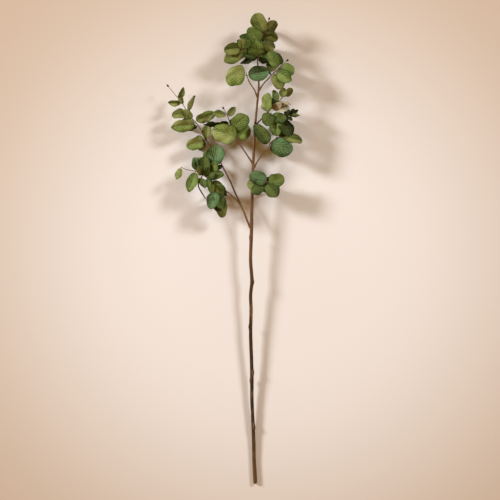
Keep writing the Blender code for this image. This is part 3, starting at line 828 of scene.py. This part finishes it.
@dataclass(frozen=True)
class Route:
    """A smooth centreline through given (x, y, z, radius) points in millimetres."""

    points: tuple[tuple[float, float, float, float], ...]

    def samples(self, step: float) -> tuple[list[Vector], list[int]]:
        """Samples the curve, which keeps the route's own points.

        Args:
            step: The rough distance between samples, in metres.

        Returns:
            The samples in metres, radius last, and the index of each route point among them.
        """
        points = [Vector(point) * MM for point in self.points]
        padded = [2 * points[0] - points[1], *points, 2 * points[-1] - points[-2]]
        samples, kept = [points[0]], [0]
        for before, start, end, after in zip(padded, padded[1:], padded[2:], padded[3:]):
            count = max(1, round((end - start).length / step))
            for i in range(1, count + 1):
                t = i / count
                samples.append(
                    0.5 * (
                        2 * start + (end - before) * t
                        + (2 * before - 5 * start + 4 * end - after) * t ** 2
                        + (3 * start - before - 3 * end + after) * t ** 3
                    )
                )
            kept.append(len(samples) - 1)
        return samples, kept


def step_lengths(places: Sequence[Vector]) -> list[float]:
    """Gives the distance from each place to the next."""
    return [(b - a).length for a, b in zip(places, places[1:])]


def point_at(samples: Sequence[Vector], share: float) -> Vector:
    """Finds the point at a share of the length of a sampled route.

    Args:
        samples: The route's samples.
        share: The share of its length, from 0 to 1.

    Returns:
        The point, in metres.
    """
    places = [sample.to_3d() for sample in samples]
    pieces = step_lengths(places)
    left = share * sum(pieces)
    for a, b, piece in zip(places, places[1:], pieces):
        if left <= piece:
            return a.lerp(b, left / piece)
        left -= piece
    return places[-1]


Relief = Callable[[float, float], float]


def shaped_grid(
    bm: bmesh.types.BMesh, rows: int, columns: int, place: Callable[[int, int], Vector]
) -> list[bmesh.types.BMVert]:
    """Adds a grid, writes its coordinates in its UV map and bends it into shape.

    Args:
        bm: The mesh that it goes in.
        rows: Faces along its length.
        columns: Faces across it.
        place: The place of the corner at a row and a column.

    Returns:
        The grid's vertices, with those that meet merged.
    """
    verts = bmesh.ops.create_grid(bm, x_segments=rows, y_segments=columns, size=1.0)["verts"]
    uv_layer = bm.loops.layers.uv.verify()
    faces = {face for vert in verts for face in vert.link_faces}
    for face in faces:
        face.smooth = True
        for loop in face.loops:
            loop[uv_layer].uv = ((loop.vert.co.x + 1) / 2, (loop.vert.co.y + 1) / 2)
    for vert in verts:
        row, column = round((vert.co.x + 1) / 2 * rows), round((vert.co.y + 1) / 2 * columns)
        vert.co = place(row, column)
    bmesh.ops.remove_doubles(bm, verts=verts, dist=MERGE_DISTANCE)
    return [vert for vert in verts if vert.is_valid]


def add_tube(
    bm: bmesh.types.BMesh, samples: Sequence[Vector], sides: int, material: int = 0,
    relief: Relief | None = None,
) -> None:
    """Adds a closed round body along samples, whose fourth value is the radius. Both ends are rounded.

    Args:
        bm: The mesh that it goes in.
        samples: The centreline, in metres, radius last.
        sides: Faces round it.
        material: The index of its material.
        relief: A factor on the radius from the distance along it and the angle round it.
    """
    rings = rounded_ends(samples)
    places = [ring.to_3d() for ring in rings]
    befores, afters = [places[0], *places[:-1]], [*places[1:], places[-1]]
    tangents = [(after - before).normalized() for before, after in zip(befores, afters)]
    side = tangents[0].orthogonal().normalized()
    frames, run = [], 0.0
    for i, tangent in enumerate(tangents):
        if i:
            side = (tangents[i - 1].rotation_difference(tangent) @ side).normalized()
            run += (places[i] - places[i - 1]).length
        frames.append((side, tangent.cross(side), run))

    def place(row: int, column: int) -> Vector:
        """Gives the place of one corner of the grid."""
        angle = math.tau * (column % sides) / sides
        right, up, distance = frames[row]
        factor = relief(distance, angle) if relief else 1.0
        return places[row] + (right * math.cos(angle) + up * math.sin(angle)) * rings[row][3] * factor

    verts = shaped_grid(bm, len(rings) - 1, sides, place)
    faces = list({face for vert in verts for face in vert.link_faces})
    for face in faces:
        face.material_index = material
    bmesh.ops.recalc_face_normals(bm, faces=faces)


def rounded_ends(samples: Sequence[Vector]) -> list[Vector]:
    """Rounds both ends of a sampled route off to a point within its last radius.

    Args:
        samples: The centreline, in metres, radius last.

    Returns:
        The samples with a dome of rings at each end.
    """
    rings = list(samples)
    for end, inner in ((0, 1), (-1, -2)):
        tip, before = rings[end], rings[inner]
        outward = (tip.to_3d() - before.to_3d()).normalized()
        depth = min(tip[3] * DOME_DEPTH, (tip.to_3d() - before.to_3d()).length * DOME_DEPTH)
        base = tip.to_3d() - outward * depth
        dome = [
            Vector((*(base + outward * depth * math.sin(a)), tip[3] * math.cos(a)))
            for a in (math.radians(value) for value in DOME_DEGREES)
        ]
        rings = [*reversed(dome), *rings[1:]] if end == 0 else [*rings[:-1], *dome]
    return rings


def as_piece(name: str, bm: bmesh.types.BMesh, materials: Sequence[bpy.types.Material]) -> bpy.types.Object:
    """Turns a finished mesh into an object that rides on the branch.

    Args:
        name: The piece's name.
        bm: The mesh, which is freed.
        materials: The materials, in the order of the faces' indices.

    Returns:
        The object.
    """
    mesh = bpy.data.meshes.new(name)
    bm.to_mesh(mesh)
    bm.free()
    mesh.set_sharp_from_angle(angle=math.radians(SHARP_DEGREES))
    for material in materials:
        mesh.materials.append(material)
    piece = bpy.data.objects.new(name, mesh)
    bpy.context.scene.collection.objects.link(piece)
    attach(piece, "root")
    LOG.info("%s: %d faces", name, len(mesh.polygons))
    return piece


@dataclass(frozen=True)
class BladeForm:
    """The form that every blade shares. Shares are of the blade's length.

    Each wave has its height, how many half turns it makes along the blade, how far it starts further
    on from one leaf to the next, and how far the left side's runs ahead of the right side's."""

    rows: int = 26
    columns: int = 14
    small_rows: int = 16
    small_columns: int = 10
    small_reach: float = 30 * MM
    column_power: float = 1.15
    root_power: float = 0.48
    blunt_tip_power: float = 0.5
    pointed_tip_power: float = 0.85
    round_width_share: float = 0.7
    slim_range: float = 0.3
    fullness: float = 2.2
    lean: float = 0.07
    wave: float = 0.045
    wave_turns: float = 3.0
    wave_step: float = 2.4
    ripple: float = 0.016
    ripple_turns: float = 11.0
    ripple_step: float = 1.7
    ripple_lead: float = 2.0
    margin: float = 0.06
    margin_turns: float = 2.6
    margin_step: float = 2.9
    margin_lead: float = 1.3
    curl: float = 0.045
    crumple: float = 1.7 * MM
    crumple_scale: float = 75.0
    crumple_step: float = 5.3
    crumple_at_rib: float = 0.3
    crumple_growth: float = 3.0
    crease: float = 0.8 * MM
    flat_root: float = 4.0
    stalk_share: float = 0.09
    stalk_most: float = 4.0 * MM
    stalk_radius: float = 0.75 * MM
    stalk_flare: float = 1.15
    stalk_taper: float = 0.1
    stalk_rings: int = 3
    stalk_sides: int = 6
    full_stalk_reach: float = 40 * MM
    rib_shares: tuple[float, ...] = (0.04, 0.12, 0.24, 0.4, 0.56, 0.72, 0.86)
    rib_depth: float = 0.45
    rib_start: float = 0.85
    rib_taper: float = 0.75
    thickness: float = 0.55 * MM

    def slimness(self, leaf: Leaf) -> float:
        """Gives 0 for a round blade with a blunt tip, up to 1 for a slim one with a pointed tip."""
        return min(1.0, max(0.0, (self.round_width_share - leaf.width / leaf.reach) / self.slim_range))

    def outline(self, u: float, slimness: float) -> float:
        """Gives half the width at a share of the blade's length.

        Args:
            u: The share of the length, from the base.
            slimness: How slim the blade is, from 0 to 1.

        Returns:
            The half width as a share of half the full width.
        """
        t = 2 * u - 1
        tip_power = self.blunt_tip_power + (self.pointed_tip_power - self.blunt_tip_power) * slimness
        power = self.root_power if t < 0 else tip_power
        return max(0.0, 1 - abs(t) ** self.fullness) ** power * (1 - self.lean * t)


@dataclass
class Blade:
    """One leaf of a spray: its row, its number in the spray and where its stalk starts."""

    leaf: Leaf
    number: int
    root: Vector
    form: BladeForm

    def __post_init__(self) -> None:
        """Works out the leaf's own axes and sizes."""
        leaf = self.leaf
        turn = Matrix.Identity(4)
        for degrees, axis in ((leaf.heading, "Z"), (-leaf.rise, "Y"), (leaf.roll, "X")):
            turn = turn @ Matrix.Rotation(math.radians(degrees), 4, axis)
        self.axes = Matrix.Translation(self.root) @ turn
        self.up = turn.to_3x3() @ Vector((0, 0, 1))
        reach = leaf.reach * MM
        self.stalk = min(self.form.stalk_share * reach, self.form.stalk_most)
        self.length = reach - self.stalk
        self.half = leaf.width * MM / 2

    def point(self, u: float, side: float) -> Vector:
        """Gives a point of the blade's middle sheet.

        Args:
            u: The share of the blade's length, from its base.
            side: The place across it, from -1 to 1.

        Returns:
            The point, kept above the floor.
        """
        form = self.form
        fold = math.radians(self.leaf.fold)
        lead = form.margin_lead if side > 0 else 0
        uneven = math.sin(form.margin_turns * math.pi * u + form.margin_step * self.number + lead)
        half = self.half * (1 + form.margin * uneven * side ** 2)
        across = half * form.outline(u, form.slimness(self.leaf)) * side
        crease = math.hypot(across, form.crease) - form.crease
        lift = crease * math.sin(fold) - self.leaf.droop * self.length * u ** 2
        wave = math.sin(form.wave_turns * math.pi * u + form.wave_step * self.number)
        lead = form.ripple_lead if side > 0 else 0
        ripple = math.sin(form.ripple_turns * math.pi * u + form.ripple_step * self.number + lead)
        lift += self.length * side * abs(side) * (form.wave * wave + form.ripple * side ** 2 * ripple)
        lift -= form.curl * self.length * abs(side) ** 3
        spot = Vector((self.length * u, across, 0)) * form.crumple_scale
        spot.z = form.crumple_step * self.number
        crumpled = min(1, form.crumple_growth * abs(side) + form.crumple_at_rib)
        lift += form.crumple * noise.noise(spot) * crumpled
        sideways = across * math.cos(fold) + self.leaf.bend * self.length * u ** 2
        risen = lift * min(1, form.flat_root * u)
        place = self.axes @ Vector((self.stalk + self.length * u, sideways, risen))
        return above_floor(place, form.thickness / 2)

    def grow(self, bm: bmesh.types.BMesh, material: int, stalk_material: int) -> None:
        """Adds the blade, its stalk and its midrib to a mesh.

        Args:
            bm: The mesh.
            material: The index of the blade's material.
            stalk_material: The index of the stalk's material.
        """
        form = self.form
        small = self.leaf.reach * MM <= form.small_reach
        rows, columns = (form.small_rows, form.small_columns) if small else (form.rows, form.columns)

        def place(row: int, column: int) -> Vector:
            """Gives the place of one corner of the grid."""
            side = 2 * column / columns - 1
            u = (1 - math.cos(math.pi * row / rows)) / 2
            return self.point(u, math.copysign(abs(side) ** form.column_power, side))

        verts = shaped_grid(bm, rows, columns, place)
        faces = list({face for vert in verts for face in vert.link_faces})
        known = set(bm.verts) - set(verts)
        bm.normal_update()
        for vert, normal in [(vert, vert.normal.copy()) for vert in verts]:
            vert.co -= normal * form.thickness / 2
        bmesh.ops.solidify(bm, geom=faces, thickness=-form.thickness)
        shell = [vert for vert in bm.verts if vert not in known]
        faces = list({face for vert in shell for face in vert.link_faces})
        bmesh.ops.recalc_face_normals(bm, faces=faces)
        self.mark(bm, shell, faces, material)
        self.grow_stalk(bm, stalk_material)

    def mark(
        self, bm: bmesh.types.BMesh, verts: Sequence[bmesh.types.BMVert],
        faces: Sequence[bmesh.types.BMFace], material: int,
    ) -> None:
        """Writes which side is the underside and the leaf's own seed, and gives the faces their material.

        Args:
            bm: The mesh.
            verts: The blade's vertices.
            faces: The blade's faces.
            material: The index of its material.
        """
        underside = bm.verts.layers.float["underside"]
        seed = bm.verts.layers.float["leaf_seed"]
        value = random.Random(SEED + 31 * self.number + round(self.root.x / MM)).random()
        for vert in verts:
            vert[underside] = 1.0 if vert.normal.dot(self.up) < 0 else 0.0
            vert[seed] = value
        for face in faces:
            face.smooth = True
            face.material_index = material

    def grow_stalk(self, bm: bmesh.types.BMesh, material: int) -> None:
        """Adds the round stalk, which runs on under the blade as its midrib.

        Args:
            bm: The mesh.
            material: The index of its material.
        """
        form = self.form
        base = self.axes @ Vector((self.stalk, 0, 0))
        radius = form.stalk_radius * min(1.0, self.leaf.reach * MM / form.full_stalk_reach)
        stalk = []
        for i in range(form.stalk_rings):
            thick = radius * (form.stalk_flare - form.stalk_taper * i)
            stalk.append(Vector((*self.root.lerp(base, i / form.stalk_rings), thick)))
        under = -self.up * form.thickness * form.rib_depth
        rib = []
        for u in form.rib_shares:
            place = above_floor(self.point(u, 0) + under, radius * (1 - u))
            rib.append(Vector((*place, radius * (form.rib_start - form.rib_taper * u))))
        add_tube(bm, stalk + rib, form.stalk_sides, material)


def above_floor(place: Vector, clearance: float) -> Vector:
    """Bends what would reach under the floor along it, with a soft turn.

    Args:
        place: A point.
        clearance: How far above the floor it has to stay.

    Returns:
        The point, at or above the clearance.
    """
    over = place.z - clearance
    if over > FLOOR_TURNS * FLOOR_TURN:
        return place
    bent = FLOOR_TURN * math.log1p(math.exp(over / FLOOR_TURN))
    return Vector((place.x, place.y, clearance + bent))


@dataclass
class LeafySpray:
    """One leafy spray: its CAD node and its twigs, with what it takes to grow them finely."""

    node: str
    twigs: tuple[Twig, ...]
    palette: Palette
    form: BladeForm = BladeForm()
    twig_step: float = 3 * MM
    twig_sides: int = 10
    joint_swell: float = 0.35
    joint_reach: float = 1.6 * MM
    bud_radius: float = 2.2 * MM
    bud_length: float = 8.0 * MM
    bud_profile: tuple[tuple[float, float], ...] = (
        (0.05, 0.45), (0.2, 0.85), (0.4, 1.0), (0.6, 0.9), (0.8, 0.6), (0.95, 0.25),
    )

    def leafy_samples(self, twig: Twig) -> list[Vector]:
        """Samples the leafy part of a twig.

        Args:
            twig: The twig.

        Returns:
            Its samples from the end of the woody part on.
        """
        samples, kept = Route(twig.route).samples(self.twig_step)
        return samples[kept[twig.bare_points - 1]:] if twig.bare_points else samples

    def build_leaves(self) -> bpy.types.Object:
        """Grows every blade of the spray in one piece.

        Returns:
            The piece, which replaces the spray's CAD node.
        """
        used = {leaf.tone for twig in self.twigs for leaf in twig.leaves}
        tones = [tone for tone in Tone if tone in used]
        bm = bmesh.new()
        bm.verts.layers.float.new("underside")
        bm.verts.layers.float.new("leaf_seed")
        number = 0
        for twig in self.twigs:
            samples = self.leafy_samples(twig)
            for leaf in twig.leaves:
                root = point_at(samples, leaf.share)
                Blade(leaf, number, root, self.form).grow(bm, tones.index(leaf.tone), len(tones))
                number += 1
        materials = [self.palette.leaves[tone] for tone in tones] + [self.palette.twig]
        piece = as_piece(f"{self.node}_leaves", bm, materials)
        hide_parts(self.node)
        return piece

    def build_twigs(self) -> bpy.types.Object:
        """Grows the spray's twigs, swollen where leaves join, and its end buds.

        Returns:
            The piece.
        """
        bm = bmesh.new()
        for twig in self.twigs:
            samples = self.leafy_samples(twig)
            places = [sample.to_3d() for sample in samples]
            length = sum(step_lengths(places))
            relief = self.joint_relief([leaf.share * length for leaf in twig.leaves])
            add_tube(bm, samples, self.twig_sides, relief=relief)
            if twig.bud:
                self.add_bud(bm, places)
        piece = as_piece(f"{self.node}_twigs", bm, [self.palette.twig, self.palette.bud])
        return piece

    def joint_relief(self, joints: Sequence[float]) -> Relief:
        """Makes the relief of a twig, which is thicker at its joints.

        Args:
            joints: How far along the twig each leaf joins it, in metres.

        Returns:
            The factor on the radius.
        """
        def relief(distance: float, angle: float) -> float:
            """Gives the factor at a distance along the twig, the same all round."""
            near = min(abs(distance - joint) for joint in joints)
            return 1 + self.joint_swell * math.exp(-(near / self.joint_reach) ** 2)

        return relief

    def add_bud(self, bm: bmesh.types.BMesh, places: Sequence[Vector]) -> None:
        """Adds the pointed bud at a twig's end.

        Args:
            bm: The mesh.
            places: The twig's centreline.
        """
        along = (places[-1] - places[-2]).normalized()
        bud = [
            Vector((*(places[-1] + along * self.bud_length * (share - 0.5)), self.bud_radius * thick))
            for share, thick in self.bud_profile
        ]
        add_tube(bm, bud, self.twig_sides, 1)


@dataclass
class WoodyStem:
    """The bare woody stem with its forks and knots."""

    palette: Palette
    step: float = 3 * MM
    sides: int = 20
    fork_sides: int = 12
    knot_height: float = 0.5
    knot_reach: float = 5.5 * MM
    knot_all_round: float = 0.55
    knot_one_side: float = 0.45
    knot_focus: int = 3
    bark_relief: float = 0.05
    stem_ridges: tuple[float, float] = (2.2, 45.0)
    fork_ridges: tuple[float, float] = (2.0, 60.0)
    bark_depth: float = 0.2 * MM
    fork_flare: float = 0.5
    fork_reach: float = 9 * MM

    def woody_samples(self, twig: Twig) -> list[Vector]:
        """Samples the woody part of a twig's route.

        Args:
            twig: The twig.

        Returns:
            Its samples up to the end of the woody part, with the bark over it.
        """
        samples, kept = Route(twig.route).samples(self.step)
        bark = Vector((0, 0, 0, self.bark_depth))
        return [sample + bark for sample in samples[:kept[twig.bare_points - 1] + 1]]

    def ridge(self, ridges: tuple[float, float], distance: float, angle: float) -> float:
        """Gives the height of the long shallow ridges at one place of the bark.

        Args:
            ridges: How closely they follow one another round the wood and along each metre of it.
            distance: The place along the wood, in metres.
            angle: The place round it, in radians.

        Returns:
            The height, as a share of the radius.
        """
        close_round, close_along = ridges
        spot = (close_round * math.cos(angle), close_round * math.sin(angle), distance * close_along)
        return self.bark_relief * noise.noise(spot)

    def stem_relief(self, length: float) -> Relief:
        """Makes the relief of the main stem: knots on their own side and long shallow ridges.

        Args:
            length: The stem's length.

        Returns:
            The factor on the radius.
        """
        def relief(distance: float, angle: float) -> float:
            """Gives the factor at a distance along the stem and an angle round it."""
            factor = 1 + self.ridge(self.stem_ridges, distance, angle)
            for share, side in STEM_KNOTS:
                near = (distance - share * length) / self.knot_reach
                facing = self.knot_all_round + self.knot_one_side * math.cos(angle - math.radians(side))
                factor += self.knot_height * facing ** self.knot_focus * math.exp(-near ** 2)
            return factor

        return relief

    def build(self) -> bpy.types.Object:
        """Grows the stem and its forks in one piece.

        Returns:
            The piece, which replaces the stem's CAD node.
        """
        bm = bmesh.new()
        samples = self.woody_samples(TOP_SPRAY[0])
        length = sum(step_lengths([sample.to_3d() for sample in samples]))
        add_tube(bm, samples, self.sides, relief=self.stem_relief(length))

        def flared(distance: float, angle: float) -> float:
            """Widens a fork where it leaves the stem."""
            ridge = self.ridge(self.fork_ridges, distance, angle)
            return 1 + ridge + self.fork_flare * math.exp(-(distance / self.fork_reach) ** 2)

        for twigs in SPRAYS.values():
            if twigs is not TOP_SPRAY:
                add_tube(bm, self.woody_samples(twigs[0]), self.fork_sides, relief=flared)
        for vert in bm.verts:
            vert.co.z = max(vert.co.z, 0.0)
        piece = as_piece("woody_stem_bark", bm, [self.palette.stem])
        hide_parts("woody_stem")
        return piece


@dataclass(frozen=True)
class Lamp:
    """A soft round lamp: where it stands and aims, its width and power, and its colour as a hex string."""

    name: str
    place: tuple[float, float, float]
    aim: tuple[float, float, float]
    width: float
    watts: float
    colour: str


LAMPS = (
    Lamp("key", (-6.6, 3.7, 3.3), (0.0, 0.75, 0.0), 1.6, 790.0, "#f0f8ff"),
    Lamp("second", (5.2, 4.6, 3.9), (0.0, 0.75, 0.0), 1.6, 432.0, "#f0f8ff"),
)


@dataclass(frozen=True)
class Studio:
    """The plain floor, with painted shade towards its edges, the soft lamps and the camera that looks
    straight down.
    """

    floor_middle: str = "#ede4df"
    # Painted shade: the floor's colour runs darker and warmer away from gradient_centre, from edge_from to
    # edge_to, in place of the lamps' falloff.
    floor_painted_shade_edge: str = "#c8b19c"
    edge_from: float = 0.22
    edge_to: float = 0.92
    gradient_centre: tuple[float, float] = (0.03, 0.48)
    floor_side: float = 9.0
    floor_pieces: int = 8
    floor_roughness: float = 0.95
    floor_gloss: float = 0.1
    camera_height: float = 6.0
    view_centre: tuple[float, float] = (-0.0105, 0.5264)
    lens: float = 183.7
    sensor_width: float = 36.0
    furthest_seen: float = 50.0
    sky_colour: str = "#ffc975"
    sky_strength: float = 0.33

    def build(self) -> None:
        """Makes the floor, the lamps, the sky and the camera."""
        self.add_floor()
        for lamp in LAMPS:
            self.add_lamp(lamp)
        self.add_sky()
        self.add_camera()

    def add_floor(self) -> None:
        """Makes the pale matte floor, just under the branch."""
        bm = bmesh.new()
        pieces = self.floor_pieces
        bmesh.ops.create_grid(bm, x_segments=pieces, y_segments=pieces, size=self.floor_side / 2)
        bmesh.ops.translate(bm, vec=(0, 0, -FLOOR_CLEARANCE), verts=bm.verts)
        mesh = bpy.data.meshes.new("floor")
        bm.to_mesh(mesh)
        bm.free()
        mesh.materials.append(self.floor_with_painted_shade())
        floor = bpy.data.objects.new("floor", mesh)
        bpy.context.scene.collection.objects.link(floor)

    def floor_with_painted_shade(self) -> bpy.types.Material:
        """Makes the floor's matte material, with painted shade: a little darker and warmer away from the
        middle of the view.

        Returns:
            The material.
        """
        material = bpy.data.materials.new("pale floor")
        material.use_nodes = True
        wiring = Wiring(material.node_tree)
        place = wiring.node("ShaderNodeTexCoord").outputs["Object"]
        away = wiring.node("ShaderNodeVectorMath", {"operation": "DISTANCE"})
        wiring.feed(away.inputs[0], place)
        away.inputs[1].default_value = (*self.gradient_centre, 0.0)
        # Painted shade: darker and warmer away from gradient_centre, where the lamps' light would fall off.
        painted_edge_shade = wiring.fade(away.outputs["Value"], self.edge_from, self.edge_to)
        shader = material.node_tree.nodes["Principled BSDF"]
        colour = wiring.mix(painted_edge_shade, linear(self.floor_middle), linear(self.floor_painted_shade_edge))
        wiring.feed(shader.inputs["Base Color"], colour)
        shader.inputs["Roughness"].default_value = self.floor_roughness
        shader.inputs["Specular IOR Level"].default_value = self.floor_gloss
        return material

    def add_lamp(self, lamp: Lamp) -> None:
        """Places one area lamp.

        Args:
            lamp: The lamp's sizes.
        """
        light = bpy.data.lights.new(lamp.name, "AREA")
        light.shape = "DISK"
        light.size = lamp.width
        light.energy = lamp.watts
        light.color = linear(lamp.colour)[:3]
        holder = bpy.data.objects.new(lamp.name, light)
        holder.location = lamp.place
        towards = Vector(lamp.aim) - Vector(lamp.place)
        holder.rotation_euler = towards.to_track_quat("-Z", "Y").to_euler()
        bpy.context.scene.collection.objects.link(holder)

    def add_sky(self) -> None:
        """Lights the scene evenly from all round."""
        world = bpy.data.worlds.new("studio")
        world.use_nodes = True
        back = world.node_tree.nodes["Background"]
        back.inputs["Color"].default_value = linear(self.sky_colour)
        back.inputs["Strength"].default_value = self.sky_strength
        bpy.context.scene.world = world
        bpy.context.scene.view_settings.view_transform = "Standard"

    def add_camera(self) -> None:
        """Hangs the camera straight above the middle of the view, with +Y up in the picture."""
        camera = bpy.data.cameras.new("camera")
        camera.lens = self.lens
        camera.sensor_width = self.sensor_width
        camera.clip_end = self.furthest_seen
        holder = bpy.data.objects.new("camera", camera)
        holder.location = (*self.view_centre, self.camera_height)
        bpy.context.scene.collection.objects.link(holder)
        bpy.context.scene.camera = holder


def main() -> None:
    """Builds the studio and dresses the branch."""
    logging.basicConfig(level=logging.INFO, format="%(name)s: %(message)s")
    Studio().build()
    palette = Palette(Pattern(), LeafSurface(), BarkSurface())
    WoodyStem(palette).build()
    for node, twigs in SPRAYS.items():
        spray = LeafySpray(node, twigs, palette)
        spray.build_leaves()
        spray.build_twigs()


if __name__ == "__main__":
    main()
